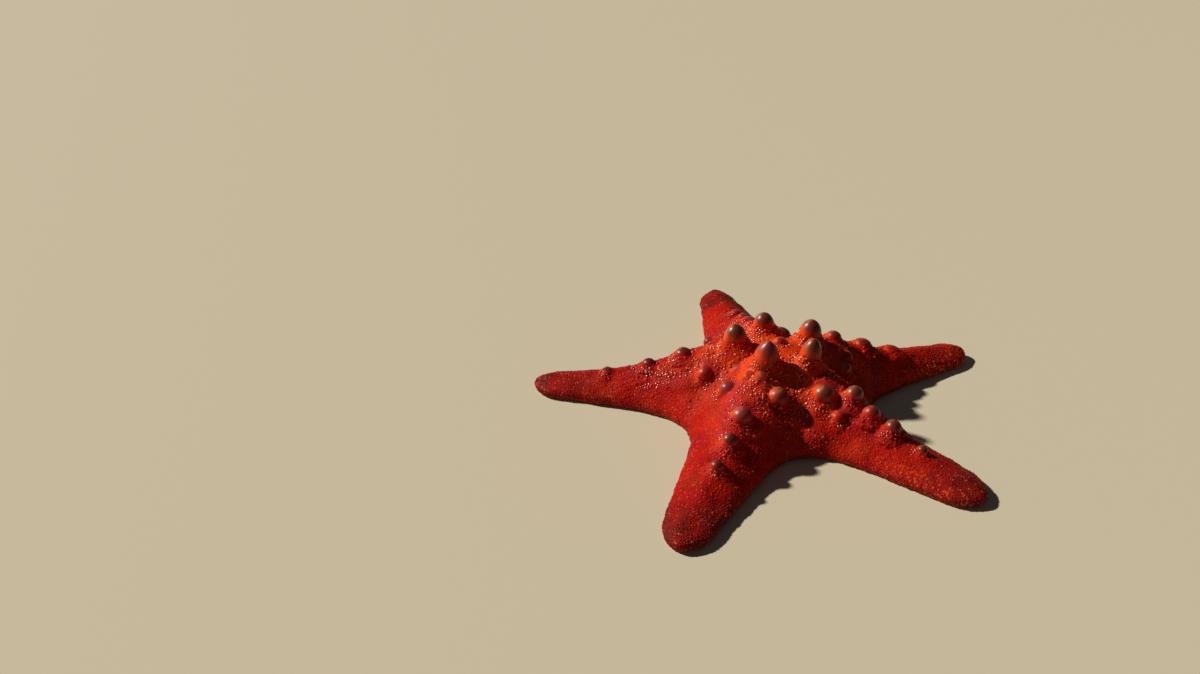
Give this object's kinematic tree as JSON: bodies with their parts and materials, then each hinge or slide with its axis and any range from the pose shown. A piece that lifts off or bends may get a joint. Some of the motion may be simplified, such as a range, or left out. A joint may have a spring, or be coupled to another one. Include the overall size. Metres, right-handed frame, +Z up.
{
  "type": "horned sea star model",
  "caption": "Still life-size sea star lying flat: domed disc with blunt horns, and tapering arms with a knobbed ridge and rounded tips.",
  "frame": {"origin": "On the floor under the middle of the whole body's box. The mouth lies 3.0 mm to +X and 4.8 mm to -Y of it.", "axes": "+Z is up, out of the horned side. +Y points away from the viewer, close to the back arm's heading. +X points to the viewer's right."},
  "size_m": [0.197, 0.2034, 0.0394],
  "materials": {
    "disc_skin": "wet, granular, satin to glossy",
    "arm_skin": "wet, finely granular, satin"
  },
  "bodies": {
    "root": {"disc": "disc_skin", "arm_left": "arm_skin", "arm_front_left": "arm_skin", "arm_front_right": "arm_skin", "arm_right": "arm_skin", "arm_back": "arm_skin"}
  },
  "joints": []
}
